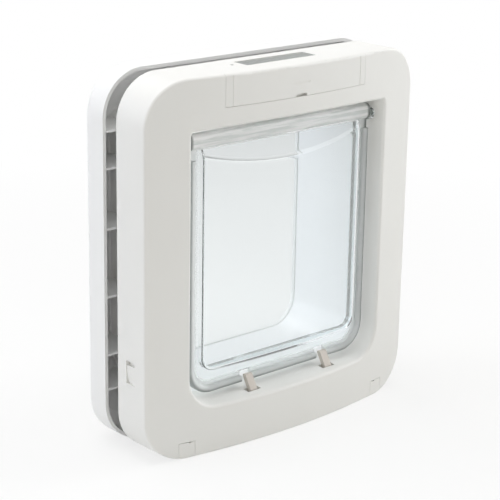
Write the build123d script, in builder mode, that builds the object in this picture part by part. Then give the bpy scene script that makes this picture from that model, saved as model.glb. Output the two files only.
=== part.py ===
import math
import os

from build123d import *

# Overall sizes, in millimetres: +Z up, the room side faces -Y, the street side +Y
width = 262.0
height = 281.0
corner_radius = 34.0
side_depth = 31.0
crown = 15.5
door_gap = 15.5
outdoor_depth = 23.0
wall = 2.6
edge_round = 2.0
reach = 5.0
running_gap = 0.3
seat_gap = 0.2
size_match = 0.01

# Flap opening in the front, its sloping jambs and sill, and the tunnel behind them
side_band = 35.0
sill_band = 36.0
lintel_band = 36.3
opening_corner = 24.0
opening_top_corner = 3.0
opening_round = 2.2
jamb_depth = 31.0
jamb_draft = 4.5
sill_draft = 3.0
lintel_draft = 6.0
tunnel_wall = 2.4

# Clear flap: a hinge bar, a flat rim with a round lip, and a bowed panel that stands proud of the rim
flap_side_gap = 3.0
flap_low_gap = 2.5
flap_corner = 21.5
flap_plate = 2.5
flap_set_back = 22.0
hinge_bar_gap = 0.5
hinge_bar_height = 12.0
hinge_rise = 3.5
hinge_bar_depth = 9.5
hinge_bar_round = 4.0
slope_in_bar = 5.0
rim_side = 11.0
rim_low = 18.0
panel_corner = 11.0
panel_step = 4.5
panel_bow = 5.0
panel_plate = 2.2
panel_round = 1.4
crease_round = 12.0
slope_run = 2.1
lip_width = 5.5
lip_height = 3.5
lip_round = 2.4
lip_top_gap = 7.0

# Hinge pins and bushes
pin_radius = 2.5
pin_fit = 0.06
pin_in_flap = 7.0
pin_in_jamb = 8.0
bush_radius = 4.6
bush_length = 4.6

# Two latches that rise out of the sill, each on a solenoid
latch_spacing = 77.0
latch_offset = 6.5
latch_width = 6.5
latch_thickness = 4.2
latch_lean = 6.3
latch_tip_round = 1.2
latch_rise = 10.0
latch_travel = 7.0
latch_keep = 5.0
latch_side_gap = 3.0
latch_end_gap = 0.8
latch_flap_gap = 0.6
flap_notch_gap = 2.0
stem_radius = 2.0
solenoid_width = 16.0
solenoid_depth = 10.0
solenoid_height = 18.6
solenoid_floor = 5.4

# Battery bay behind its cover, with the cells, their contacts and the keys
cover_ledge_side = 3.0
cover_ledge_low = 1.2
cover_thickness = 2.6
cover_gap = 0.25
cover_groove_inset = 6.0
cover_groove = 0.8
cover_groove_depth = 0.35
cover_notch_width = 10.5
cover_notch_height = 2.0
grip_width = 16.0
grip_height = 1.2
grip_rise = 9.5
bay_wall = 1.6
bay_front_room = 4.85
screw_pocket = 14.9
cell_radius = 5.25
cell_length = 43.3
cell_nub_radius = 1.9
cell_nub_length = 1.2
cell_pitch = 11.0
cell_middle_gap = 0.3
cell_top_gap = 0.7
contact_plate = 0.8
contact_spring = 3.0
contact_spring_radius = 2.6
key_spacing = 24.0
key_width = 8.0
key_height = 2.4
key_length = 7.0
key_proud = 1.6
key_travel = 0.8
key_ledge_depth = 10.0
key_ledge_height = 3.4
key_gap = 0.2

# Display, light sensor and circuit board at the top
window_width = 67.0
window_depth = 15.2
window_thickness = 1.2
window_rebate = 1.4
window_border = 1.2
window_set_back = 29.0
display_thickness = 2.6
display_border = 1.5
sensor_radius = 1.4
sensor_gap = 7.9
sensor_length = 4.0
board_height = 24.0
board_thickness = 1.6

# Antenna coil round the tunnel
coil_thickness = 1.5
coil_set_back = 2.0
coil_plate_gap = 1.5

# Lock slider in the left side
slider_width = 9.0
slider_height = 13.6
slider_travel = 3.2
slider_low = 59.3
slider_set_back = 14.6
slider_flange = 3.0
slider_flange_thickness = 2.0
slider_sink = 0.5
slider_grip = 5.0

# Fixing screws that draw the two frames together through the door, and their covers
low_screw_inset = 33.5
low_screw_z = 6.8
low_screw_depth = 9.0
fixing_radius = 2.2
fixing_head_radius = 4.2
fixing_head = 3.0
fixing_bite = 18.0
fixing_clearance = 0.4
cross_slot = 1.1
screw_cover_width = 13.0
screw_cover_high = 12.6
screw_cover_thickness = 2.6
screw_cover_gap = 0.35
nick_width = 2.0
nick_height = 0.8
boss_wall = 2.8
thread_fit = 0.05

# Rear chassis and its small screws
chassis_plate = 2.6
chassis_recess = 3.4
chassis_screw_inset = 45.0
chassis_screw_radius = 1.5
chassis_screw_head_radius = 3.0
chassis_screw_head = 1.8
chassis_screw_bite = 12.0
chassis_boss_radius = 4.0

# Outdoor frame, whose face rises from a flat band round its edge to the mouth of the tunnel
outdoor_rise = 18.0
outdoor_band = 12.0
rise_round = 4.0
mouth_rim = 7.0
mouth_round = 2.0
outdoor_round = 7.0
outdoor_face = 3.0
outdoor_lip = 1.0
sleeve_gap = 0.4
sleeve_wall = 2.2
sleeve_recess = 2.5
rib_thickness = 1.6
rib_recess = 3.0
rib_offsets = (25.5, 70.0, 97.0)

# Places that follow from the sizes above
total_depth = crown + side_depth + door_gap + outdoor_depth + outdoor_rise
front_y = -total_depth / 2
back_y = total_depth / 2
door_face_y = front_y + crown + side_depth
outdoor_face_y = door_face_y + door_gap
outdoor_edge_y = outdoor_face_y + outdoor_depth
crown_radius = ((width / 2) ** 2 + crown ** 2) / (2 * crown)
crown_centre_y = front_y + crown_radius
jamb_back_y = front_y + jamb_depth
opening_width = width - 2 * side_band
opening_low = sill_band
opening_high = height - lintel_band
tunnel_width = opening_width - 2 * jamb_draft
tunnel_low = opening_low + sill_draft
tunnel_high = opening_high - lintel_draft
tunnel_end_y = back_y - outdoor_face - seat_gap
flap_width = tunnel_width - 2 * flap_side_gap
flap_low = tunnel_low + flap_low_gap
hinge_bar_high = tunnel_high - hinge_bar_gap
hinge_bar_low = hinge_bar_high - hinge_bar_height
hinge_height = hinge_bar_low + hinge_rise
hinge_y = front_y + flap_set_back
flap_front_y = hinge_y - flap_plate / 2
flap_back_y = hinge_y + flap_plate / 2
panel_width = flap_width - 2 * rim_side
panel_low = flap_low + rim_low
slope_top = hinge_bar_low + slope_in_bar
panel_radius = ((panel_width / 2) ** 2 + panel_bow ** 2) / (2 * panel_bow)
chassis_back_y = door_face_y - chassis_recess
chassis_front_y = chassis_back_y - chassis_plate
cell_rows_depth = cell_pitch + 2 * cell_radius + seat_gap
bay_inner_back_y = front_y + cover_thickness + cover_gap + bay_front_room + cell_rows_depth
bay_back_y = bay_inner_back_y + bay_wall
bay_high = height - wall - display_thickness - 2 * seat_gap - bay_wall
cell_floor = bay_high - cell_top_gap - 2 * cell_radius
bay_low = cell_floor - key_ledge_height
cover_low = bay_low - cover_ledge_low
cell_bay_width = 2 * (cell_middle_gap + cell_length + cell_nub_length + contact_spring + contact_plate)
bay_width = cell_bay_width + 2 * (bay_wall + screw_pocket)
cover_width = bay_width + 2 * cover_ledge_side
grip_low = cover_low + grip_rise
low_screw_x = width / 2 - low_screw_inset
high_screw_x = cell_bay_width / 2 + bay_wall + screw_pocket / 2
high_screw_z = (cell_floor + bay_high) / 2
chassis_screw_x = (opening_width + width) / 4
chassis_screw_spacing = height / 2 - chassis_screw_inset
slider_centre_y = door_face_y - slider_set_back
sensor_x = -window_width / 2 - sensor_gap


def face_y(x):
    # depth of the crowned front face at a given place across it
    return crown_centre_y - math.sqrt(crown_radius**2 - x**2)


def sill_z(y):
    # height of the sloping sill at a given depth
    return opening_low + sill_draft * (y - front_y) / jamb_depth


def lintel_z(y):
    # height of the sloping underside above the flap at a given depth
    return opening_high - lintel_draft * (y - front_y) / jamb_depth


def jamb_x(y):
    # half width of the opening between its jambs at a given depth
    return opening_width / 2 - jamb_draft * (y - front_y) / jamb_depth


def latch_x(side):
    # place across of a latch, left or right
    return latch_offset + side * latch_spacing / 2


def span_box(x, y, z, mode=Mode.ADD):
    # a box between pairs of low and high places
    with Locations(((x[0] + x[1]) / 2, (y[0] + y[1]) / 2, (z[0] + z[1]) / 2)):
        Box(x[1] - x[0], y[1] - y[0], z[1] - z[0], mode=mode)


def y_rod(x, z, radius, y, mode=Mode.ADD):
    # a round bar along Y between two depths
    with Locations(Location((x, (y[0] + y[1]) / 2, z), (90, 0, 0))):
        Cylinder(radius, y[1] - y[0], mode=mode)


def x_rod(x, y, z, radius, mode=Mode.ADD):
    # a round bar along X between two places across
    with Locations(Location(((x[0] + x[1]) / 2, y, z), (0, 90, 0))):
        Cylinder(radius, abs(x[1] - x[0]), mode=mode)


def frame_outline(inset, y):
    # the outline that both frames share, drawn in by an inset
    with BuildSketch(Plane.XZ.offset(-y)) as outline:
        with Locations((0, height / 2)):
            RectangleRounded(width - 2 * inset, height - 2 * inset, corner_radius - inset)
    return outline.sketch


def tunnel_outline(grow, y):
    # the outline of the tunnel, grown all round
    low = tunnel_low - grow
    high = tunnel_high + grow
    with BuildSketch(Plane.XZ.offset(-y)) as outline:
        with Locations((0, (low + high) / 2)):
            Rectangle(tunnel_width + 2 * grow, high - low)
        fillet(outline.vertices().group_by(Axis.Y)[0], opening_corner + grow)
        fillet(outline.vertices().group_by(Axis.Y)[-1], opening_top_corner + grow)
    return outline.sketch


def rounded_block(inset, y_front, y_back):
    # a block in the frames' outline between two depths
    with BuildPart() as block:
        extrude(frame_outline(inset, y_back), amount=y_back - y_front)
    return block.part


def behind_face(inset):
    # all that lies behind the crowned front face, moved back by an inset
    with BuildPart() as block:
        with BuildSketch(Plane.XY.offset(-2 * reach)):
            with Locations((0, crown_centre_y)):
                Circle(crown_radius - inset)
        extrude(amount=height + 4 * reach)
    return block.part


def bowed_face(piece, radius):
    # the face of a piece that is curved to a given radius
    round_faces = piece.faces().filter_by(GeomType.CYLINDER)
    return [face for face in round_faces if abs(face.radius - radius) < size_match][0]


def edge_band(piece):
    # the flat band round the edge of the outdoor frame
    return [face for face in piece.faces() if abs(face.center().Y - outdoor_edge_y) < seat_gap][0]


def face_slab(x, slab_width, low, high, thickness):
    # the skin of the front face over a rectangle, down to a thickness
    with BuildPart() as slab:
        with BuildSketch(Plane.XZ.offset(-door_face_y)):
            with Locations((x, (low + high) / 2)):
                Rectangle(slab_width, high - low)
        extrude(amount=door_face_y - front_y + reach)
        add(behind_face(thickness), mode=Mode.SUBTRACT)
    return slab.part


def opening_block(grow, y_front, y_back):
    # the flap opening between two depths, with its draft, grown all round
    with BuildPart() as block:
        for y in (y_front, y_back):
            half = jamb_x(y) + grow
            low = sill_z(y) - grow
            high = lintel_z(y) + grow
            with BuildSketch(Plane.XZ.offset(-y)) as outline:
                with Locations((0, (low + high) / 2)):
                    Rectangle(2 * half, high - low)
                fillet(outline.vertices().group_by(Axis.Y)[0], opening_corner + grow)
                fillet(outline.vertices().group_by(Axis.Y)[-1], opening_top_corner + grow)
        loft(ruled=True)
    return block.part


def tunnel_block(grow, y_front, y_back):
    # the straight tunnel between two depths, grown all round
    with BuildPart() as block:
        extrude(tunnel_outline(grow, y_back), amount=y_back - y_front)
    return block.part


def outdoor_form(inset, y_front, set_back):
    # the outdoor frame: straight sides, a flat band, then a face that rises to the mouth of the tunnel
    edge_y = outdoor_edge_y - set_back
    with BuildPart() as form:
        add(rounded_block(inset, y_front, edge_y))
        foot = frame_outline(outdoor_band + inset / 2, edge_y)
        loft([foot, tunnel_outline(mouth_rim, back_y - set_back)], ruled=True)
    return form.part


def flap_block(inset, low, high, corner, y_front, y_back):
    # the flap's outline with its two round lower corners, between two depths
    with BuildPart() as block:
        with BuildSketch(Plane.XZ.offset(-y_back)) as outline:
            with Locations((0, (low + high) / 2)):
                Rectangle(flap_width - 2 * inset, high - low)
            fillet(outline.vertices().group_by(Axis.Y)[0], corner)
        extrude(amount=y_back - y_front)
    return block.part


def panel_block(inset, y_back):
    # the bowed panel: round corners below, a curved front, and a slope under the hinge bar
    y_front = flap_front_y - panel_step - panel_bow - reach
    slope_z = slope_top - inset * math.hypot(1, slope_run)
    slope_drop = slope_run * (flap_front_y - y_front)
    low = panel_low + inset
    centre_y = flap_front_y - panel_step - panel_bow + panel_radius
    with BuildPart() as block:
        add(flap_block(rim_side + inset, low, slope_top, panel_corner - inset, y_front, y_back))
        with BuildSketch(Plane.XY):
            with Locations((0, centre_y)):
                Circle(panel_radius - inset)
        extrude(amount=height, mode=Mode.INTERSECT)
        with BuildSketch(Plane.YZ.offset(-width / 2)):
            with BuildLine():
                Polyline(
                    (y_back, low - reach),
                    (y_back, slope_z),
                    (flap_front_y, slope_z),
                    (y_front, slope_z - slope_drop),
                    (y_front, low - reach),
                    close=True,
                )
            make_face()
        extrude(amount=width, mode=Mode.INTERSECT)
    return block.part


# Outer form of the indoor unit, with its crowned front and soft front edge
with BuildPart() as indoor_outer:
    add(rounded_block(0, front_y - reach, door_face_y))
    add(behind_face(0), mode=Mode.INTERSECT)
    crowned = indoor_outer.faces().filter_by(GeomType.CYLINDER).sort_by(SortBy.AREA)[-1]
    fillet(crowned.outer_wire().edges(), edge_round)

# Hollow of the indoor unit, open to the rear
with BuildPart() as indoor_hollow:
    add(rounded_block(wall, front_y - reach, door_face_y))
    add(behind_face(wall), mode=Mode.INTERSECT)

# Jambs and sill round the opening
with BuildPart() as jamb_tube:
    add(opening_block(wall, front_y, jamb_back_y))
    add(behind_face(wall / 2), mode=Mode.INTERSECT)

# Walls of the battery bay, with a ledge that the cover rests against
with BuildPart() as bay_shell:
    span_box(
        (-cover_width / 2 - cover_gap - bay_wall, cover_width / 2 + cover_gap + bay_wall),
        (front_y - reach, bay_back_y),
        (cover_low - cover_gap - bay_wall, bay_high + bay_wall),
    )
    add(behind_face(wall / 2), mode=Mode.INTERSECT)

cells_x = (-cell_bay_width / 2, cell_bay_width / 2)
key_face_y = front_y + key_ledge_depth
key_back_y = key_face_y - key_proud + key_length
key_z = (bay_low + cell_floor) / 2
key_places = [i * key_spacing for i in (-1, 0, 1)]

with BuildPart() as bay_hollow:
    span_box(cells_x, (front_y - reach, bay_inner_back_y), (cell_floor, bay_high))
    span_box(cells_x, (front_y - reach, key_face_y), (bay_low, cell_floor))
    for side in (-1, 1):
        pocket = sorted((side * (cell_bay_width / 2 + bay_wall), side * bay_width / 2))
        span_box(pocket, (front_y - reach, bay_inner_back_y), (bay_low, bay_high))
    for x in key_places:
        span_box(
            (x - key_width / 2 - key_gap, x + key_width / 2 + key_gap),
            (key_face_y - reach, key_back_y + key_travel + key_gap),
            (key_z - key_height / 2 - key_gap, key_z + key_height / 2 + key_gap),
        )

low_screws = [(-low_screw_x, low_screw_z), (low_screw_x, low_screw_z)]
high_screws = [(-high_screw_x, high_screw_z), (high_screw_x, high_screw_z)]
low_head_y = face_y(low_screw_x) + low_screw_depth
high_head_y = bay_inner_back_y - fixing_head
chassis_screw_places = [
    (side * chassis_screw_x, height / 2 + i * chassis_screw_spacing)
    for side in (-1, 1)
    for i in (-1, 0, 1)
]
latch_places = [latch_x(-1), latch_x(1)]
latch_back_y = flap_front_y - latch_flap_gap
latch_y = (latch_back_y - latch_lean - latch_thickness, latch_back_y - latch_lean)
window_x = (-window_width / 2, window_width / 2)
window_y = (front_y + window_set_back - window_depth / 2, front_y + window_set_back + window_depth / 2)
slider_y = (slider_centre_y - slider_width / 2, slider_centre_y + slider_width / 2)

# Blocks behind the screw covers that take the low fixing screws
with BuildPart() as low_blocks:
    for x, z in low_screws:
        span_box(
            (x - screw_cover_width / 2 - bay_wall, x + screw_cover_width / 2 + bay_wall),
            (front_y, low_head_y + fixing_head + boss_wall),
            (0, screw_cover_high + bay_wall),
        )
    add(behind_face(wall / 2), mode=Mode.INTERSECT)
    add(rounded_block(wall / 2, front_y - reach, door_face_y), mode=Mode.INTERSECT)

# Front housing: the crowned front, its sides, jambs, sill, bay and bosses in one moulding
with BuildPart() as front_housing:
    add(indoor_outer.part)
    add(indoor_hollow.part, mode=Mode.SUBTRACT)
    add(jamb_tube.part)
    add(opening_block(0, front_y - reach, jamb_back_y), mode=Mode.SUBTRACT)
    fillet(bowed_face(front_housing, crown_radius).inner_wires()[0].edges(), opening_round)
    add(bay_shell.part)
    add(
        face_slab(
            0,
            cover_width + 2 * cover_gap,
            cover_low - cover_gap,
            height + reach,
            cover_thickness + cover_gap,
        ),
        mode=Mode.SUBTRACT,
    )
    add(bay_hollow.part, mode=Mode.SUBTRACT)
    add(low_blocks.part)
    for x, z in low_screws:
        add(
            face_slab(
                x,
                screw_cover_width + 2 * screw_cover_gap,
                -reach,
                screw_cover_high + screw_cover_gap,
                screw_cover_thickness + seat_gap,
            ),
            mode=Mode.SUBTRACT,
        )
        head_room = (front_y, low_head_y + fixing_head)
        y_rod(x, z, fixing_head_radius + fixing_clearance, head_room, Mode.SUBTRACT)
        y_rod(x, z, fixing_radius + fixing_clearance, (front_y, door_face_y), Mode.SUBTRACT)
    for x, z in high_screws:
        y_rod(x, z, fixing_radius + fixing_clearance, (front_y, door_face_y), Mode.SUBTRACT)
    for x, z in chassis_screw_places:
        y_rod(x, z, chassis_boss_radius, (face_y(x) + wall / 2, chassis_front_y))
        y_rod(
            x,
            z,
            chassis_screw_radius + thread_fit,
            (chassis_front_y - chassis_screw_bite, chassis_front_y),
            Mode.SUBTRACT,
        )
    for x in latch_places:
        span_box(
            (x - latch_width / 2 - latch_side_gap, x + latch_width / 2 + latch_side_gap),
            (latch_y[0] - latch_end_gap, latch_y[1] + latch_end_gap),
            (sill_z(front_y) - 2 * wall, sill_z(jamb_back_y) + reach),
            Mode.SUBTRACT,
        )
    for side in (-1, 1):
        bush_seat = (0, side * (flap_width / 2 + running_gap + bush_length + seat_gap))
        pin_start = jamb_x(hinge_y) - bush_length / 2
        pin_hole = (side * pin_start, side * (flap_width / 2 + pin_in_jamb + reach))
        x_rod(bush_seat, hinge_y, hinge_height, bush_radius + seat_gap / 2, Mode.SUBTRACT)
        x_rod(pin_hole, hinge_y, hinge_height, pin_radius + thread_fit, Mode.SUBTRACT)
    span_box(
        (window_x[0] - seat_gap, window_x[1] + seat_gap),
        (window_y[0] - seat_gap, window_y[1] + seat_gap),
        (height - window_rebate, height + reach),
        Mode.SUBTRACT,
    )
    span_box(
        (window_x[0] + window_border, window_x[1] - window_border),
        (window_y[0] + window_border, window_y[1] - window_border),
        (height - 2 * wall, height + reach),
        Mode.SUBTRACT,
    )
    with Locations((sensor_x, front_y + window_set_back, height)):
        Cylinder(sensor_radius + seat_gap / 2, 2 * wall + reach, mode=Mode.SUBTRACT)
    span_box(
        (-width / 2 - reach, -width / 2 + 2 * wall),
        (slider_y[0] - running_gap, slider_y[1] + running_gap),
        (slider_low - running_gap, slider_low + slider_height + slider_travel + running_gap),
        Mode.SUBTRACT,
    )
front_housing.part.label = "front_housing"

# Battery cover: a curved plate, flush with the front, that slides up out of its seat
with BuildPart() as battery_cover:
    add(indoor_outer.part)
    add(face_slab(0, cover_width, cover_low, height + reach, cover_thickness), mode=Mode.INTERSECT)
    for side in (-1, 1):
        groove_x = side * (cover_width / 2 - cover_groove_inset)
        add(
            face_slab(groove_x, cover_groove, cover_low - reach, height + reach, cover_groove_depth),
            mode=Mode.SUBTRACT,
        )
    add(face_slab(0, grip_width, grip_low, grip_low + grip_height, cover_groove_depth), mode=Mode.SUBTRACT)
    span_box(
        (-cover_notch_width / 2, cover_notch_width / 2),
        (front_y - reach, front_y + reach),
        (cover_low - reach, cover_low + cover_notch_height),
        Mode.SUBTRACT,
    )
battery_cover.part.label = "battery_cover"

# Rear chassis: the plate that closes the housing, and the tunnel through the door
with BuildPart() as rear_chassis:
    add(rounded_block(wall + seat_gap, chassis_front_y, chassis_back_y))
    add(tunnel_block(tunnel_wall, jamb_back_y, tunnel_end_y))
    add(tunnel_block(0, jamb_back_y - reach, tunnel_end_y + reach), mode=Mode.SUBTRACT)
    for x, z in low_screws + high_screws:
        y_rod(x, z, fixing_radius + fixing_clearance, (chassis_front_y - reach, door_face_y), Mode.SUBTRACT)
    for x, z in chassis_screw_places:
        hole_y = (chassis_front_y - reach, door_face_y)
        y_rod(x, z, chassis_screw_radius + fixing_clearance, hole_y, Mode.SUBTRACT)
rear_chassis.part.label = "rear_chassis"

# Outdoor frame: a ribbed shell with screw bosses, and a sleeve that slips over the tunnel
sleeve_inner = tunnel_wall + sleeve_gap
sleeve_outer = sleeve_inner + sleeve_wall
fixing_end_y = outdoor_face_y + fixing_bite
with BuildPart() as outdoor_ribs:
    for offset_z in rib_offsets:
        for z in (height / 2 - offset_z, height / 2 + offset_z):
            for side in (-1, 1):
                inner_x = tunnel_width / 2 + sleeve_outer - sleeve_wall / 2
                span_box(
                    sorted((side * inner_x, side * width / 2)),
                    (outdoor_face_y + rib_recess, back_y),
                    (z - rib_thickness / 2, z + rib_thickness / 2),
                )
    for x, z in low_screws + high_screws:
        y_rod(x, z, fixing_radius + boss_wall, (outdoor_face_y + rib_recess, back_y))
    add(outdoor_form(wall - seat_gap, outdoor_face_y, outdoor_face - seat_gap), mode=Mode.INTERSECT)

with BuildPart() as outdoor_frame:
    add(outdoor_form(0, outdoor_face_y, 0))
    fillet(edge_band(outdoor_frame).inner_wires()[0].edges(), rise_round)
    fillet(edge_band(outdoor_frame).outer_wire().edges(), outdoor_round)
    fillet(outdoor_frame.faces().sort_by(Axis.Y)[-1].outer_wire().edges(), mouth_round)
    add(outdoor_form(wall, outdoor_face_y - reach, outdoor_face), mode=Mode.SUBTRACT)
    add(tunnel_block(sleeve_outer, outdoor_face_y + sleeve_recess, back_y - outdoor_face / 2))
    add(outdoor_ribs.part)
    for x, z in low_screws + high_screws:
        thread_y = (outdoor_face_y - reach, fixing_end_y + seat_gap)
        y_rod(x, z, fixing_radius + thread_fit, thread_y, Mode.SUBTRACT)
    add(tunnel_block(sleeve_inner, outdoor_face_y - reach, back_y - outdoor_face), mode=Mode.SUBTRACT)
    add(tunnel_block(-outdoor_lip, back_y - 2 * outdoor_face, back_y + reach), mode=Mode.SUBTRACT)
outdoor_frame.part.label = "outdoor_frame"

# Clear flap in one moulding
notch_high = sill_z(latch_back_y) + latch_rise + flap_notch_gap
lip_high = hinge_bar_low - lip_top_gap
panel_outer = panel_block(0, hinge_y)
panel_inner = panel_block(panel_plate, flap_back_y + reach)
with BuildPart() as flap_lip:
    add(flap_block(0, flap_low, lip_high, flap_corner, flap_front_y - lip_height, hinge_y))
    add(
        flap_block(
            lip_width,
            flap_low + lip_width,
            lip_high + reach,
            flap_corner - lip_width,
            flap_front_y - 2 * lip_height,
            back_y,
        ),
        mode=Mode.SUBTRACT,
    )
    fillet(flap_lip.faces().sort_by(Axis.Y)[0].edges().sort_by(Axis.Z)[:-2], lip_round)
with BuildPart() as flap:
    add(panel_outer)
    fillet(bowed_face(flap, panel_radius).outer_wire().edges().sort_by(Axis.Z)[-1], crease_round)
    fillet(bowed_face(flap, panel_radius).outer_wire().edges().sort_by(Axis.Z)[:-1], panel_round)
    add(flap_block(0, flap_low, slope_top, flap_corner, flap_front_y, flap_back_y))
    add(flap_lip.part)
    add(panel_inner, mode=Mode.SUBTRACT)
    with BuildSketch(Plane.YZ.offset(-flap_width / 2)):
        with Locations((hinge_y, (hinge_bar_low + hinge_bar_high) / 2)):
            RectangleRounded(hinge_bar_depth, hinge_bar_high - hinge_bar_low, hinge_bar_round)
    extrude(amount=flap_width)
    for side in (-1, 1):
        bore = (side * (flap_width / 2 - pin_in_flap - running_gap), side * (flap_width / 2 + reach))
        x_rod(bore, hinge_y, hinge_height, pin_radius + pin_fit, Mode.SUBTRACT)
    for x in latch_places:
        notch_half = latch_width / 2 + flap_notch_gap
        span_box((x - notch_half, x + notch_half), (front_y, back_y), (0, notch_high), Mode.SUBTRACT)
flap.part.label = "flap"


def hinge_pin(side):
    # a plain pin from the jamb into the end of the hinge bar
    span = (side * (flap_width / 2 - pin_in_flap), side * (flap_width / 2 + pin_in_jamb))
    with BuildPart() as pin:
        x_rod(span, hinge_y, hinge_height, pin_radius)
    return pin.part


def hinge_bush(side):
    # a ring round the pin, let into the jamb
    start = flap_width / 2 + running_gap
    through = (side * (start - reach), side * (start + bush_length + reach))
    with BuildPart() as bush:
        x_rod((side * start, side * (start + bush_length)), hinge_y, hinge_height, bush_radius)
        x_rod(through, hinge_y, hinge_height, pin_radius + pin_fit, Mode.SUBTRACT)
    return bush.part


latch_top = sill_z(latch_back_y) + latch_rise
latch_bottom = opening_low - latch_travel - latch_keep
solenoid_y = (latch_y[0] + latch_y[1]) / 2
solenoid_top = wall + solenoid_height
stem_low = wall + solenoid_floor + 2 * seat_gap


def latch(x):
    # a claw that leans back towards the flap, on a stem that goes down into its solenoid
    with BuildPart() as piece:
        with BuildSketch(Plane.YZ.offset(x - latch_width / 2)):
            with BuildLine():
                Polyline(
                    (latch_y[0], latch_bottom),
                    (latch_y[0], sill_z(latch_y[0]) + seat_gap),
                    (latch_back_y - latch_thickness, latch_top),
                    (latch_back_y, latch_top),
                    (latch_y[1], sill_z(latch_y[1]) + seat_gap),
                    (latch_y[1], latch_bottom),
                    close=True,
                )
            make_face()
        extrude(amount=latch_width)
        fillet(piece.edges().filter_by(Axis.X).group_by(Axis.Z)[-1], latch_tip_round)
        with Locations((x, solenoid_y, (stem_low + latch_bottom) / 2)):
            Cylinder(stem_radius, latch_bottom - stem_low)
    return piece.part


def latch_solenoid(x):
    # a block on the floor of the housing with a bore for the latch stem
    half_width = solenoid_width / 2
    half_depth = solenoid_depth / 2
    with BuildPart() as block:
        span_box(
            (x - half_width, x + half_width),
            (solenoid_y - half_depth, solenoid_y + half_depth),
            (wall, solenoid_top),
        )
        fillet(block.edges().filter_by(Axis.Z), edge_round)
        with Locations((x, solenoid_y, wall + solenoid_floor)):
            Cylinder(
                stem_radius + running_gap,
                solenoid_height,
                align=(Align.CENTER, Align.CENTER, Align.MIN),
                mode=Mode.SUBTRACT,
            )
    return block.part


def battery_cell(side, row):
    # one cell lying across, its nub towards the positive X side
    spring_room = contact_plate + contact_spring
    start = side * (cell_bay_width / 2 - spring_room) if side < 0 else cell_middle_gap
    y = bay_inner_back_y - cell_radius - seat_gap - row * cell_pitch
    z = cell_floor + cell_radius
    with BuildPart() as cell:
        end = start + cell_length
        x_rod((start, end), y, z, cell_radius)
        fillet(cell.edges(), cell_nub_length / 2)
        x_rod((end - cell_nub_length, end + cell_nub_length), y, z, cell_nub_radius)
    return cell.part


def battery_contact(side):
    # a plate on the end wall of the bay with two raised contacts
    outer = side * cell_bay_width / 2
    inner = side * (cell_bay_width / 2 - contact_plate)
    spring = side * (cell_bay_width / 2 - contact_plate - contact_spring + seat_gap)
    mid_y = bay_inner_back_y - cell_radius - seat_gap - cell_pitch / 2
    z = cell_floor + cell_radius
    half_depth = cell_pitch / 2 + contact_spring_radius + contact_plate
    with BuildPart() as contact:
        span_box(
            sorted((outer, inner)),
            (mid_y - half_depth, mid_y + half_depth),
            (z - contact_spring_radius - contact_plate, z + contact_spring_radius + contact_plate),
        )
        for row in (-1, 1):
            x_rod((inner, spring), mid_y + row * cell_pitch / 2, z, contact_spring_radius)
    return contact.part


def key(x):
    # one small key in the ledge under the cells
    with BuildPart() as cap:
        span_box(
            (x - key_width / 2, x + key_width / 2),
            (key_face_y - key_proud, key_back_y),
            (key_z - key_height / 2, key_z + key_height / 2),
        )
        fillet(cap.faces().sort_by(Axis.Y)[0].edges(), key_gap)
    return cap.part


def screw_cover(x):
    # a flush plate over a fixing screw, with a nick in its top edge to lift it by
    side = math.copysign(1, -x)
    with BuildPart() as cover:
        add(indoor_outer.part)
        add(
            face_slab(x, screw_cover_width, -reach, screw_cover_high, screw_cover_thickness),
            mode=Mode.INTERSECT,
        )
        nick_x = x + side * (screw_cover_width / 2 - 2 * nick_width)
        span_box(
            (nick_x - nick_width / 2, nick_x + nick_width / 2),
            (front_y, door_face_y),
            (screw_cover_high - nick_height, screw_cover_high + reach),
            Mode.SUBTRACT,
        )
    return cover.part


def screw(x, z, head_y, head_radius, head, radius, end_y, towards):
    # a pan-head screw with a cross slot, its head at head_y and its point at end_y
    under = head_y - towards * head
    with BuildPart() as piece:
        y_rod(x, z, head_radius, sorted((head_y, under)))
        head_edges = piece.edges().sort_by(Axis.Y)
        fillet(head_edges[0] if towards < 0 else head_edges[-1], head / 3)
        y_rod(x, z, radius, sorted((under, end_y)))
        point_edges = piece.edges().filter_by(GeomType.CIRCLE).sort_by(Axis.Y)
        chamfer(point_edges[-1] if towards < 0 else point_edges[0], radius / 3)
        slot_y = sorted((head_y + towards * reach, head_y - towards * head / 2))
        for half_x, half_z in ((head_radius / 2, cross_slot / 2), (cross_slot / 2, head_radius / 2)):
            span_box((x - half_x, x + half_x), slot_y, (z - half_z, z + half_z), Mode.SUBTRACT)
    return piece.part


# Display window, display, light sensor and circuit board
with BuildPart() as display_window:
    span_box(window_x, window_y, (height - window_rebate, height - window_rebate + window_thickness))
    fillet(display_window.edges().filter_by(Axis.Z), window_border)
display_window.part.label = "display_window"

with BuildPart() as display_module:
    span_box(
        (window_x[0] - display_border, window_x[1] + display_border),
        (window_y[0] - display_border, window_y[1] + display_border),
        (height - wall - display_thickness, height - wall),
    )
    span_box(
        (window_x[0] + window_border + seat_gap, window_x[1] - window_border - seat_gap),
        (window_y[0] + window_border + seat_gap, window_y[1] - window_border - seat_gap),
        (height - wall, height - window_rebate - seat_gap),
    )
display_module.part.label = "display_module"

with BuildPart() as light_sensor:
    with Locations((sensor_x, front_y + window_set_back, height - seat_gap)):
        Cylinder(sensor_radius, sensor_length, align=(Align.CENTER, Align.CENTER, Align.MAX))
    fillet(light_sensor.edges().group_by(Axis.Z)[-1], sensor_radius / 3)
light_sensor.part.label = "light_sensor"

with BuildPart() as circuit_board:
    span_box(
        cells_x,
        (bay_back_y, bay_back_y + board_thickness),
        (bay_high + bay_wall - board_height, bay_high + bay_wall),
    )
circuit_board.part.label = "circuit_board"

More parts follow.
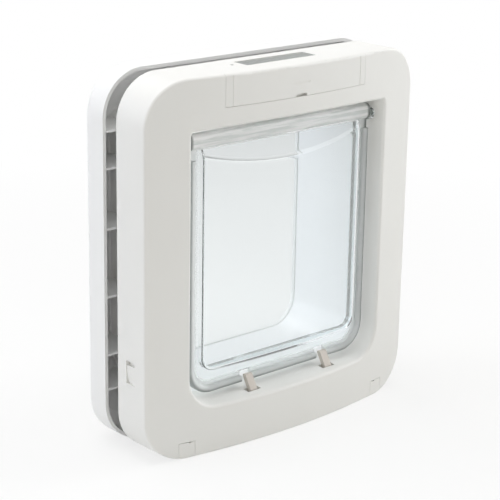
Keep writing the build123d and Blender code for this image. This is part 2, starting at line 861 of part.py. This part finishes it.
# Antenna coil round the tunnel, just behind the jambs
with BuildPart() as antenna_coil:
    coil_y = (jamb_back_y + coil_set_back, chassis_front_y - coil_plate_gap)
    coil_inner = tunnel_wall + thread_fit
    add(tunnel_block(coil_inner + coil_thickness, *coil_y))
    add(tunnel_block(coil_inner, coil_y[0] - reach, coil_y[1] + reach), mode=Mode.SUBTRACT)
antenna_coil.part.label = "antenna_coil"

# Lock slider: a button in its window, on a flange behind the side wall
slider_face_x = -width / 2 + slider_sink
flange_x = -width / 2 + wall + running_gap
with BuildPart() as lock_slider:
    span_box(
        (slider_face_x, flange_x + slider_flange_thickness),
        slider_y,
        (slider_low, slider_low + slider_height),
    )
    span_box(
        (flange_x, flange_x + slider_flange_thickness),
        (slider_y[0] - slider_flange, slider_y[1] + slider_flange),
        (slider_low - slider_flange, slider_low + slider_height + slider_flange),
    )
    with BuildSketch(Plane.XZ.offset(-slider_y[1])):
        with BuildLine():
            Polyline(
                (slider_face_x - reach, slider_low - reach),
                (slider_face_x + wall / 2, slider_low - reach),
                (slider_face_x + wall / 2, slider_low),
                (slider_face_x, slider_low + slider_height - slider_grip),
                (slider_face_x - reach, slider_low + slider_height - slider_grip),
                close=True,
            )
        make_face()
    extrude(amount=slider_width - wall, mode=Mode.SUBTRACT)
lock_slider.part.label = "lock_slider"

os.makedirs("parts", exist_ok=True)
pieces = [
    front_housing.part,
    battery_cover.part,
    rear_chassis.part,
    outdoor_frame.part,
    flap.part,
    display_window.part,
    display_module.part,
    light_sensor.part,
    circuit_board.part,
    antenna_coil.part,
    lock_slider.part,
]


def named(part, label):
    part.label = label
    pieces.append(part)


for side, word in ((-1, "left"), (1, "right")):
    named(hinge_pin(side), f"hinge_pin_{word}")
    named(hinge_bush(side), f"hinge_bush_{word}")
    named(latch(latch_x(side)), f"latch_{word}")
    named(latch_solenoid(latch_x(side)), f"latch_solenoid_{word}")
    named(battery_contact(side), f"battery_contact_{word}")
    named(screw_cover(side * low_screw_x), f"screw_cover_{word}")
for number, (side, row) in enumerate(((-1, 0), (1, 0), (-1, 1), (1, 1)), start=1):
    named(battery_cell(side, row), f"battery_{number}")
for number, x in enumerate(key_places, start=1):
    named(key(x), f"key_{number}")

long_screws = [
    screw(x, z, head_y, fixing_head_radius, fixing_head, fixing_radius, fixing_end_y, -1)
    for places, head_y in ((low_screws, low_head_y), (high_screws, high_head_y))
    for x, z in places
]
named(Compound(children=long_screws), "fixing_screws")
short_screws = [
    screw(
        x,
        z,
        chassis_back_y + chassis_screw_head,
        chassis_screw_head_radius,
        chassis_screw_head,
        chassis_screw_radius,
        chassis_front_y - chassis_screw_bite + seat_gap,
        1,
    )
    for x, z in chassis_screw_places
]
named(Compound(children=short_screws), "chassis_screws")

for part in pieces:
    export_step(part, f"parts/{part.label}.step")
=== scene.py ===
import math

import bmesh
import bpy
from mathutils import Matrix, Vector


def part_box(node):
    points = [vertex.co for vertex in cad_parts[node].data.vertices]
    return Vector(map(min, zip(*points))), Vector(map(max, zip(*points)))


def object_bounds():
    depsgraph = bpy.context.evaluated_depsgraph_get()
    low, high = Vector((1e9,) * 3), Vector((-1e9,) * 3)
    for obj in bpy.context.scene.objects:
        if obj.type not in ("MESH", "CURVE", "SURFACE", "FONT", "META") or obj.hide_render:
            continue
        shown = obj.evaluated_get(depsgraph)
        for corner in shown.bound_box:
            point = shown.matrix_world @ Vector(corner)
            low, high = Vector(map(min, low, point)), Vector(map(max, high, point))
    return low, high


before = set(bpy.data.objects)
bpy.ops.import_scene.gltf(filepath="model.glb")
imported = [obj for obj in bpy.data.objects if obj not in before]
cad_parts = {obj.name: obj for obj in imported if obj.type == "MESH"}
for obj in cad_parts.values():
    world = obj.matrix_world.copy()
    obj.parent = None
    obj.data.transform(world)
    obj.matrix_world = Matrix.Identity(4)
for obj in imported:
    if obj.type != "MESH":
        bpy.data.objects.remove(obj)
cadBox = [list(corner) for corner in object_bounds()]
mm = 0.001
noiseDetail = {"drift": 2.0, "patch": 3.0, "grain": 2.0, "haze": 4.0, "streak": 3.0}
bumpStrength = {"grain": 0.4, "ripple": 0.3, "thread": 0.8}
waveRadians = 20                                # of phase in one unit of the wave texture
colourA, colourB, mixedColour = 6, 7, 2         # sockets of a Mix node by number, since their names repeat
numberA, numberB, mixedNumber = 2, 3, 0
print("frame loaded:", len(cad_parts), "nodes")


def hexToLinear(hexColour):
    channels = [int(hexColour[i:i + 2], 16) / 255 for i in (1, 3, 5)]
    linear = [c / 12.92 if c <= 0.04045 else ((c + 0.055) / 1.055) ** 2.4 for c in channels]
    return (*linear, 1.0)


def perMillimetre(size):
    return 1 / (size * mm)  # texture scale for a pattern of that size


def addNode(tree, kind, settings=None, links=None):
    node = tree.nodes.new(kind)
    for name, value in (settings or {}).items():
        if isinstance(name, int) or name in node.inputs:
            node.inputs[name].default_value = value
        else:
            setattr(node, name, value)
    for name, socket in (links or {}).items():
        tree.links.new(socket, node.inputs[name])
    return node


def newMaterial(name):
    material = bpy.data.materials.new(name)
    material.use_nodes = True
    tree = material.node_tree
    tree.nodes.clear()
    output = addNode(tree, "ShaderNodeOutputMaterial")
    place = addNode(tree, "ShaderNodeTexCoord").outputs["Object"]
    return material, tree, output, place


def surfaceLinks(tree, place, s):
    # what every moulded, plated or printed surface here has: a tone and a gloss that drift, and a fine grain
    drift, patch, grain = (
        addNode(
            tree,
            "ShaderNodeTexNoise",
            {"Scale": perMillimetre(s[pattern]), "Detail": noiseDetail[pattern]},
            {"Vector": place},
        )
        for pattern in ("drift", "patch", "grain")
    )
    tone = addNode(
        tree,
        "ShaderNodeMix",
        {
            "data_type": "RGBA",
            colourA: hexToLinear(s["colours"][0]),
            colourB: hexToLinear(s["colours"][1]),
        },
        {"Factor": drift.outputs["Fac"]},
    )
    gloss = addNode(
        tree,
        "ShaderNodeMapRange",
        {"To Min": s["roughness"][0], "To Max": s["roughness"][1]},
        {"Value": patch.outputs["Fac"]},
    )
    bump = addNode(
        tree,
        "ShaderNodeBump",
        {"Strength": bumpStrength["grain"], "Distance": s["height"] * mm},
        {"Height": grain.outputs["Fac"]},
    )
    return {
        "Base Color": tone.outputs[mixedColour],
        "Roughness": gloss.outputs["Result"],
        "Normal": bump.outputs["Normal"],
    }


# Opaque finishes, sizes in millimetres; a grain too fine to show is drawn coarser
finishes = {
    "whiteAbsMoulded": {           # spark-eroded tool: soft broad sheen, warm white, no mirror image
        "slot": "white_abs", "colours": ("#eeeeeb", "#eae9e5"), "drift": 70, "patch": 25,
        "roughness": (0.42, 0.52), "grain": 1.4, "height": 0.012, "ior": 1.54,  # real grain 0.2
    },
    "whiteAbsTunnelPaintedBright": {    # smoother tool inside the tunnel, so a tighter sheen; the brighter white is painted light, for the light that fills the tunnel
        "nodes": ("rear_chassis",), "colours": ("#fbfbfb", "#f7f7f7"), "drift": 70, "patch": 25,
        "roughness": (0.3, 0.4), "grain": 1.4, "height": 0.006, "ior": 1.54,
    },
    "whiteAbsOutdoorPaintedBright": {    # the same ABS as indoors, drawn a little whiter: painted light for the brighter light on the outdoor frame
        "nodes": ("outdoor_frame",), "colours": ("#f5f5f4", "#f1f1ef"), "drift": 70, "patch": 25,
        "roughness": (0.42, 0.52), "grain": 1.4, "height": 0.012, "ior": 1.54,
    },
    "beigeAcetalMoulded": {        # waxy grey-beige, with a dull gloss
        "slot": "beige_acetal", "colours": ("#d3ccc4", "#cac2b9"), "drift": 8, "patch": 4,
        "roughness": (0.34, 0.44), "grain": 1.2, "height": 0.01, "ior": 1.48,
    },
    "steelCaseNickelPlated": {     # folded sheet: warm bright grey with cloudy plating
        "slot": "solenoid_case", "colours": ("#b9bbb8", "#a5a7a4"), "drift": 6, "patch": 3,
        "roughness": (0.25, 0.4), "grain": 1.0, "height": 0.015, "metallic": 1.0,
    },
    "springBronzeNickelPlated": {  # thin stamped sheet: warm bright metal
        "slot": "nickel_contact", "colours": ("#cdc8bb", "#b8b2a4"), "drift": 4, "patch": 2,
        "roughness": (0.2, 0.32), "grain": 0.8, "height": 0.01, "metallic": 1.0,
    },
    "lcdGlassEtched": {            # unlit cell: flat grey-green with no digits on
        "slot": "display_glass", "colours": ("#a2a8a1", "#9aa09a"), "drift": 20, "patch": 6,
        "roughness": (0.18, 0.26), "grain": 1.0, "height": 0.004, "ior": 1.52,
    },
    "sensorLensSmoked": {          # small polished lens, nearly black
        "slot": "sensor_lens", "colours": ("#3a3a3c", "#303033"), "drift": 1, "patch": 1,
        "roughness": (0.1, 0.16), "grain": 0.5, "height": 0.003, "ior": 1.55,
    },
    "boardLaminateMasked": {       # green lacquer over woven glass: a faint mottle under gloss
        "slot": "board_laminate", "colours": ("#2d5a3c", "#274f35"), "drift": 5, "patch": 3,
        "roughness": (0.28, 0.4), "grain": 0.7, "height": 0.02, "ior": 1.5,
    },
    "siliconeKeyMoulded": {        # rubber key: mid grey, fully matt
        "slot": "grey_key", "colours": ("#8a8c8d", "#808283"), "drift": 4, "patch": 3,
        "roughness": (0.6, 0.72), "grain": 0.9, "height": 0.02, "ior": 1.42,
    },
    "copperEnamelWound": {         # lacquered wire: deep orange metal with a clear skin
        "slot": "copper_coil", "colours": ("#b06a3e", "#9c5932"), "drift": 6, "patch": 2,
        "roughness": (0.28, 0.38), "grain": 0.5, "height": 0.05, "metallic": 1.0,
    },
}


def makeFinish(name):
    s = finishes[name]
    material, tree, output, place = newMaterial(name)
    settings = {"Metallic": s["metallic"]} if "metallic" in s else {"IOR": s["ior"]}
    surface = addNode(tree, "ShaderNodeBsdfPrincipled", settings, surfaceLinks(tree, place, s))
    tree.links.new(surface.outputs["BSDF"], output.inputs["Surface"])
    return material


# Clear plastics: each lets the lamps through, so that what is behind the pane is lit
clears = {
    "polycarbonateBushMoulded": {   # small thick moulding: clear, a little grey
        "slot": "clear_bush", "colour": "#eef2f1", "lampTint": "#e8eeee", "ior": 1.585,
        "ripple": 8, "rippleHeight": 0.02, "haze": 3, "roughness": (0.05, 0.12),
    },
    "acrylicSmokedPolished": {      # display pane: smoky grey-green with a hard shine
        "slot": "display_acrylic", "colour": "#b4bab4", "lampTint": "#d5dad5", "ior": 1.49,
        "ripple": 30, "rippleHeight": 0.01, "haze": 6, "roughness": (0.04, 0.1),
    },
}


def clearLinks(tree, place, s):
    # what every clear moulding here has: a long ripple from its tool, and a gloss that drifts
    ripple = addNode(tree, "ShaderNodeTexNoise", {"Scale": perMillimetre(s["ripple"])}, {"Vector": place})
    bump = addNode(
        tree,
        "ShaderNodeBump",
        {"Strength": bumpStrength["ripple"], "Distance": s["rippleHeight"] * mm},
        {"Height": ripple.outputs["Fac"]},
    )
    haze = addNode(
        tree,
        "ShaderNodeTexNoise",
        {"Scale": perMillimetre(s["haze"]), "Detail": noiseDetail["haze"]},
        {"Vector": place},
    )
    gloss = addNode(
        tree,
        "ShaderNodeMapRange",
        {"To Min": s["roughness"][0], "To Max": s["roughness"][1]},
        {"Value": haze.outputs["Fac"]},
    )
    return {"Roughness": gloss.outputs["Result"], "Normal": bump.outputs["Normal"]}


def finishClear(tree, output, s, clear):
    # lamp rays pass straight through with a tint, and all other rays meet the surface
    through = addNode(tree, "ShaderNodeBsdfTransparent", {"Color": hexToLinear(s["lampTint"])})
    path = addNode(tree, "ShaderNodeLightPath")
    surface = addNode(
        tree,
        "ShaderNodeMixShader",
        {},
        {0: path.outputs["Is Shadow Ray"], 1: clear.outputs["BSDF"], 2: through.outputs["BSDF"]},
    )
    tree.links.new(surface.outputs["Shader"], output.inputs["Surface"])


def makeClear(name):
    s = clears[name]
    material, tree, output, place = newMaterial(name)
    clear = addNode(
        tree,
        "ShaderNodeBsdfPrincipled",
        {"Base Color": hexToLinear(s["colour"]), "Transmission Weight": 1.0, "IOR": s["ior"]},
        clearLinks(tree, place, s),
    )
    finishClear(tree, output, s, clear)
    return material


# Flap in polycarbonate: a polished clear panel, and a satin rim and hinge bar that look paler and greyer,
# with painted shade along the very edge
flapPlastic = {
    "colour": "#f6fafb", "lampTint": "#f4f8f9", "ior": 1.585,
    "ripple": 45, "rippleHeight": 0.05, "haze": 9, "roughness": (0.012, 0.04),
    "rimWidth": (7.0, 10.0),       # in from the edge: satin up to the first, polished from the second
    "barHeight": (12.5, 11.0),     # the same, down from the top
    "cornerRadius": 21.5,
    "satinRoughness": 0.32,
    "rimClear": 0.72, "barClear": 0.45,  # the rest is milky
    "rimColour": "#f0f2f1", "barColours": ("#e0e4e2", "#ffffff"),
    "streak": 1.6,                 # flow lines across the bar
    "streakAlong": (0.06, 1, 1),   # how they are drawn out along it
    "streakRange": (0.4, 0.58),
    "paintedEdgeShadeColour": "#808381",       # painted shade: a dark band along the very edge, for the shadowed gap beside the flap
    "paintedEdgeShadeWidth": (0.8, 3.4),
}


def flapZones(tree, place, s):
    # one on the rim and on the hinge bar, and nought on the very edge where the shade is painted, each with
    # a soft change
    low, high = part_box("flap")
    corner = s["cornerRadius"] * mm
    parts = addNode(tree, "ShaderNodeSeparateXYZ", {}, {"Vector": place})
    fromMiddle = addNode(tree, "ShaderNodeMath", {"operation": "ABSOLUTE"}, {0: parts.outputs["X"]})
    beyondSide = addNode(
        tree,
        "ShaderNodeMath",
        {"operation": "SUBTRACT", 1: high[0] - corner},
        {0: fromMiddle.outputs["Value"]},
    )
    beyondFoot = addNode(
        tree, "ShaderNodeMath", {"operation": "SUBTRACT", 0: low[2] + corner}, {1: parts.outputs["Z"]}
    )
    beyond = addNode(
        tree,
        "ShaderNodeCombineXYZ",
        {},
        {"X": beyondSide.outputs["Value"], "Z": beyondFoot.outputs["Value"]},
    )
    outside = addNode(
        tree, "ShaderNodeVectorMath", {"operation": "MAXIMUM", 1: (0, 0, 0)}, {0: beyond.outputs["Vector"]}
    )
    reach = addNode(tree, "ShaderNodeVectorMath", {"operation": "LENGTH"}, {0: outside.outputs["Vector"]})
    inset = addNode(
        tree, "ShaderNodeMath", {"operation": "SUBTRACT", 0: corner}, {1: reach.outputs["Value"]}
    )  # how far in from the rounded outline
    rim = addNode(
        tree,
        "ShaderNodeMapRange",
        {
            "interpolation_type": "SMOOTHSTEP",
            "From Min": s["rimWidth"][0] * mm,
            "From Max": s["rimWidth"][1] * mm,
            "To Min": 1.0,
            "To Max": 0.0,
        },
        {"Value": inset.outputs["Value"]},
    )
    bar = addNode(
        tree,
        "ShaderNodeMapRange",
        {
            "interpolation_type": "SMOOTHSTEP",
            "From Min": high[2] - s["barHeight"][0] * mm,
            "From Max": high[2] - s["barHeight"][1] * mm,
        },
        {"Value": parts.outputs["Z"]},
    )
    paintedEdgeShade = addNode(
        tree,
        "ShaderNodeMapRange",
        {
            "interpolation_type": "SMOOTHSTEP",
            "From Min": s["paintedEdgeShadeWidth"][0] * mm,
            "From Max": s["paintedEdgeShadeWidth"][1] * mm,
        },
        {"Value": inset.outputs["Value"]},
    )
    return rim.outputs["Result"], bar.outputs["Result"], paintedEdgeShade.outputs["Result"]


def makeFlapPlastic():
    s = flapPlastic
    material, tree, output, place = newMaterial("polycarbonateClearMoulded")
    links = clearLinks(tree, place, s)
    rim, bar, paintedEdgeShade = flapZones(tree, place, s)
    satin = addNode(tree, "ShaderNodeMath", {"operation": "MAXIMUM"}, {0: rim, 1: bar})
    stretched = addNode(
        tree, "ShaderNodeVectorMath", {"operation": "MULTIPLY", 1: s["streakAlong"]}, {0: place}
    )
    streak = addNode(
        tree,
        "ShaderNodeTexNoise",
        {"Scale": perMillimetre(s["streak"]), "Detail": noiseDetail["streak"]},
        {"Vector": stretched.outputs["Vector"]},
    )
    streakShare = addNode(
        tree,
        "ShaderNodeMapRange",
        {"From Min": s["streakRange"][0], "From Max": s["streakRange"][1]},
        {"Value": streak.outputs["Fac"]},
    )
    streaked = addNode(
        tree,
        "ShaderNodeMix",
        {
            "data_type": "RGBA",
            colourA: hexToLinear(s["barColours"][0]),
            colourB: hexToLinear(s["barColours"][1]),
        },
        {"Factor": streakShare.outputs["Result"]},
    )
    plainOrStreaked = addNode(
        tree,
        "ShaderNodeMix",
        {"data_type": "RGBA", colourA: hexToLinear(s["rimColour"])},
        {"Factor": bar, colourB: streaked.outputs[mixedColour]},
    )
    # painted shade: the satin tone goes dark along the flap's very edge
    satinToneWithEdgeShade = addNode(
        tree,
        "ShaderNodeMix",
        {"data_type": "RGBA", colourA: hexToLinear(s["paintedEdgeShadeColour"])},
        {"Factor": paintedEdgeShade, colourB: plainOrStreaked.outputs[mixedColour]},
    )
    links["Base Color"] = addNode(
        tree,
        "ShaderNodeMix",
        {"data_type": "RGBA", colourA: hexToLinear(s["colour"])},
        {"Factor": satin.outputs["Value"], colourB: satinToneWithEdgeShade.outputs[mixedColour]},
    ).outputs[mixedColour]
    links["Roughness"] = addNode(
        tree,
        "ShaderNodeMix",
        {"data_type": "FLOAT", numberB: s["satinRoughness"]},
        {"Factor": satin.outputs["Value"], numberA: links["Roughness"]},
    ).outputs[mixedNumber]
    rimClear = addNode(
        tree, "ShaderNodeMath", {"operation": "MULTIPLY_ADD", 1: s["rimClear"] - 1, 2: 1.0}, {0: rim}
    )
    links["Transmission Weight"] = addNode(
        tree,
        "ShaderNodeMath",
        {"operation": "MULTIPLY_ADD", 1: s["barClear"] - 1},
        {0: bar, 2: rimClear.outputs["Value"]},
    ).outputs["Value"]
    clear = addNode(tree, "ShaderNodeBsdfPrincipled", {"IOR": s["ior"]}, links)
    finishClear(tree, output, s, clear)
    return material


# Rolled steel screws, zinc plated: bright grey with thread lines round them
screwSteel = {
    "nodes": ("fixing_screws", "chassis_screws"), "colours": ("#c3c7c9", "#aeb2b4"), "drift": 3, "patch": 2,
    "roughness": (0.24, 0.38), "grain": 0.6, "height": 0.01, "metallic": 1.0,
    "threadPitch": 6.2832, "threadHeight": 0.25,  # drawn coarser: a real pitch is about 1
}


def makeScrewSteel():
    s = screwSteel
    material, tree, output, place = newMaterial("screwSteelZincPlated")
    links = surfaceLinks(tree, place, s)
    turnScale = perMillimetre(s["threadPitch"]) * math.tau / waveRadians
    thread = addNode(
        tree,
        "ShaderNodeTexWave",
        {"bands_direction": "Y", "wave_profile": "TRI", "Scale": turnScale},
        {"Vector": place},
    )
    links["Normal"] = addNode(
        tree,
        "ShaderNodeBump",
        {"Strength": bumpStrength["thread"], "Distance": s["threadHeight"] * mm},
        {"Height": thread.outputs["Fac"], "Normal": links["Normal"]},
    ).outputs["Normal"]
    surface = addNode(tree, "ShaderNodeBsdfPrincipled", {"Metallic": s["metallic"]}, links)
    tree.links.new(surface.outputs["BSDF"], output.inputs["Surface"])
    return material


# Dry cells: a printed shrink film with a pale band at the positive end, and bare steel caps
cellJacket = {
    "colours": ("#5f7286", "#566879"), "drift": 12, "patch": 6, "roughness": (0.2, 0.3),
    "grain": 2.0, "height": 0.02, "ior": 1.5,
    "bandColour": "#c9c3b4", "bandLength": 11, "capColour": "#c4c6c4", "topCap": 1.4, "footCap": 0.7,
}


def makeCellJacket(nodeName):
    s = cellJacket
    material, tree, output, place = newMaterial("cellFilmPrinted." + nodeName)
    links = surfaceLinks(tree, place, s)
    low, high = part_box(nodeName)
    along = addNode(tree, "ShaderNodeSeparateXYZ", {}, {"Vector": place}).outputs["X"]
    inBand = addNode(
        tree, "ShaderNodeMath", {"operation": "GREATER_THAN", 1: high[0] - s["bandLength"] * mm}, {0: along}
    )
    banded = addNode(
        tree,
        "ShaderNodeMix",
        {"data_type": "RGBA", colourB: hexToLinear(s["bandColour"])},
        {"Factor": inBand.outputs["Value"], colourA: links["Base Color"]},
    )
    inTopCap = addNode(
        tree, "ShaderNodeMath", {"operation": "GREATER_THAN", 1: high[0] - s["topCap"] * mm}, {0: along}
    )
    inFootCap = addNode(
        tree, "ShaderNodeMath", {"operation": "LESS_THAN", 1: low[0] + s["footCap"] * mm}, {0: along}
    )
    inCap = addNode(
        tree,
        "ShaderNodeMath",
        {"operation": "MAXIMUM"},
        {0: inTopCap.outputs["Value"], 1: inFootCap.outputs["Value"]},
    )
    links["Base Color"] = addNode(
        tree,
        "ShaderNodeMix",
        {"data_type": "RGBA", colourB: hexToLinear(s["capColour"])},
        {"Factor": inCap.outputs["Value"], colourA: banded.outputs[mixedColour]},
    ).outputs[mixedColour]
    links["Metallic"] = inCap.outputs["Value"]
    surface = addNode(tree, "ShaderNodeBsdfPrincipled", {"IOR": s["ior"]}, links)
    tree.links.new(surface.outputs["BSDF"], output.inputs["Surface"])
    return material


slotMaterials = {s["slot"]: makeFinish(name) for name, s in finishes.items() if "slot" in s}
slotMaterials.update({s["slot"]: makeClear(name) for name, s in clears.items()})
slotMaterials["clear_polycarbonate"] = makeFlapPlastic()
cellNames = [f"battery_{number}" for number in (1, 2, 3, 4)]
nodeMaterials = {name: makeCellJacket(name) for name in cellNames}
for finishName, finish in finishes.items():
    if "nodes" in finish:
        nodeFinish = makeFinish(finishName)
        nodeMaterials.update({name: nodeFinish for name in finish["nodes"]})
screwMaterial = makeScrewSteel()
nodeMaterials.update({name: screwMaterial for name in screwSteel["nodes"]})
for nodeName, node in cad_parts.items():
    for slot in node.material_slots:
        slotName = slot.material.name
        slot.link = "OBJECT"
        slot.material = nodeMaterials.get(nodeName) or slotMaterials[slotName]
print("finishes set:", len(slotMaterials), "by slot,", len(nodeMaterials), "by node")


# Studio: a white sweep under two overhead softboxes, with two softboxes on the left and two on the right
studio = {
    "floorSize": 12.0,
    "floorColour": "#f4f4f2",
    "floorGlow": (0.72, 1.0),     # share of plain white in what is seen of the floor, near and far
    "glowReach": (0.25, 0.8),     # metres from the middle, so the shadow near the object stays
    "throughFlap": 0.16,          # how much of that white shows through clear plastic
    "skyStrength": 0.03,
    "aim": (0, 0, 0.14),
    "lamps": {
        "overheadFront": {"at": (-0.15, -0.35, 1.9), "size": 1.6, "power": 15, "colour": "#ffffff"},
        "overheadBack": {"at": (-0.2, 0.7, 1.8), "size": 1.6, "power": 17, "colour": "#ffffff"},
        "leftBehind": {"at": (-1.6, 0.85, 0.75), "size": 1.2, "power": 12, "colour": "#eef3ff"},
        "leftFront": {"at": (-1.35, -1.5, 0.9), "size": 1.2, "power": 9.5, "colour": "#fffcf6"},
        # the small one on the right makes the bright line along the flap's fold
        "rightFront": {"at": (1.4, -1.55, 0.62), "size": 0.7, "power": 2.5, "colour": "#ffffff"},
        "rightSide": {"at": (1.9, -0.7, 0.8), "size": 1.0, "power": 21, "colour": "#fdfeff"},
    },
}


def seenDirectly(tree):
    # one for rays from the camera or a mirror-like surface, and a share of one through clear plastic
    path = addNode(tree, "ShaderNodeLightPath")
    plain = addNode(
        tree,
        "ShaderNodeMath",
        {"operation": "MAXIMUM"},
        {0: path.outputs["Is Camera Ray"], 1: path.outputs["Is Glossy Ray"]},
    )
    return addNode(
        tree,
        "ShaderNodeMix",
        {"data_type": "FLOAT", numberB: studio["throughFlap"]},
        {"Factor": path.outputs["Is Transmission Ray"], numberA: plain.outputs["Value"]},
    ).outputs[mixedNumber]


def makeFloor():
    bm = bmesh.new()
    bmesh.ops.create_grid(bm, x_segments=1, y_segments=1, size=studio["floorSize"] / 2)
    mesh = bpy.data.meshes.new("studioFloor")
    bm.to_mesh(mesh)
    bm.free()
    floor = bpy.data.objects.new("studioFloor", mesh)
    bpy.context.scene.collection.objects.link(floor)
    material, tree, output, place = newMaterial("paperSweepMatt")
    paper = addNode(tree, "ShaderNodeBsdfDiffuse", {"Color": hexToLinear(studio["floorColour"])})
    glow = addNode(tree, "ShaderNodeEmission", {"Strength": 1.0})
    away = addNode(tree, "ShaderNodeVectorMath", {"operation": "LENGTH"}, {0: place})
    fade = addNode(
        tree,
        "ShaderNodeMapRange",
        {
            "From Min": studio["glowReach"][0],
            "From Max": studio["glowReach"][1],
            "To Min": studio["floorGlow"][0],
            "To Max": studio["floorGlow"][1],
        },
        {"Value": away.outputs["Value"]},
    )
    share = addNode(
        tree, "ShaderNodeMath", {"operation": "MULTIPLY"}, {0: seenDirectly(tree), 1: fade.outputs["Result"]}
    )
    surface = addNode(
        tree,
        "ShaderNodeMixShader",
        {},
        {0: share.outputs["Value"], 1: paper.outputs["BSDF"], 2: glow.outputs["Emission"]},
    )
    tree.links.new(surface.outputs["Shader"], output.inputs["Surface"])
    mesh.materials.append(material)


def makeSky():
    world = bpy.data.worlds.new("studioSky")
    world.use_nodes = True
    tree = world.node_tree
    tree.nodes.clear()
    output = addNode(tree, "ShaderNodeOutputWorld")
    soft = addNode(tree, "ShaderNodeBackground", {"Color": (1, 1, 1, 1), "Strength": studio["skyStrength"]})
    white = addNode(tree, "ShaderNodeBackground", {"Color": (1, 1, 1, 1), "Strength": 1.0})
    sky = addNode(
        tree,
        "ShaderNodeMixShader",
        {},
        {0: seenDirectly(tree), 1: soft.outputs["Background"], 2: white.outputs["Background"]},
    )
    tree.links.new(sky.outputs["Shader"], output.inputs["Surface"])
    bpy.context.scene.world = world


def makeLamp(name, s):
    data = bpy.data.lights.new(name, "AREA")
    data.energy = s["power"]
    data.size = s["size"]
    data.color = hexToLinear(s["colour"])[:3]
    lamp = bpy.data.objects.new(name, data)
    bpy.context.scene.collection.objects.link(lamp)
    lamp.location = s["at"]
    lamp.rotation_euler = (Vector(studio["aim"]) - Vector(s["at"])).to_track_quat("-Z", "Y").to_euler()


makeFloor()
makeSky()
for lampName, lampSettings in studio["lamps"].items():
    makeLamp(lampName, lampSettings)
print("studio lit")


# Camera: the photograph's own viewing angle; lengths in millimetres, places in the picture in pixels
view = {
    "pictureSize": 500,
    "aimBehindFront": 44.5,      # the point aimed at lies this far behind the crowned front, at half height
    "aimSeenAt": (257.56, 238.88),
    "focalPixels": 1622.87,
    "distance": 1228.96,
    "yaw": 41.723,
    "pitch": 17.325,
    "roll": 1.002,
    "sensor": 36.0,
}


def makeCamera():
    s = view
    yaw, pitch, roll = (math.radians(s[k]) for k in ("yaw", "pitch", "roll"))
    ahead = Vector((math.sin(yaw) * math.cos(pitch), math.cos(yaw) * math.cos(pitch), -math.sin(pitch)))
    level = Vector((math.cos(yaw), -math.sin(yaw), 0))
    upright = level.cross(ahead)
    right = math.cos(roll) * level + math.sin(roll) * upright
    up = math.cos(roll) * upright - math.sin(roll) * level
    middle = s["pictureSize"] / 2
    across = (s["aimSeenAt"][0] - middle) / s["focalPixels"] * s["distance"]
    above = (middle - s["aimSeenAt"][1]) / s["focalPixels"] * s["distance"]
    aim = Vector((0, cadBox[0][1] + s["aimBehindFront"] * mm, cadBox[1][2] / 2))
    place = aim - (across * right + above * up + s["distance"] * ahead) * mm
    data = bpy.data.cameras.new("viewCamera")
    data.sensor_width = s["sensor"]
    data.lens = s["focalPixels"] / s["pictureSize"] * s["sensor"]
    camera = bpy.data.objects.new("viewCamera", data)
    bpy.context.scene.collection.objects.link(camera)
    camera.matrix_world = Matrix.Translation(place) @ Matrix((right, up, -ahead)).transposed().to_4x4()
    bpy.context.scene.camera = camera


makeCamera()
bpy.context.scene.view_settings.view_transform = "Standard"
print("camera set")
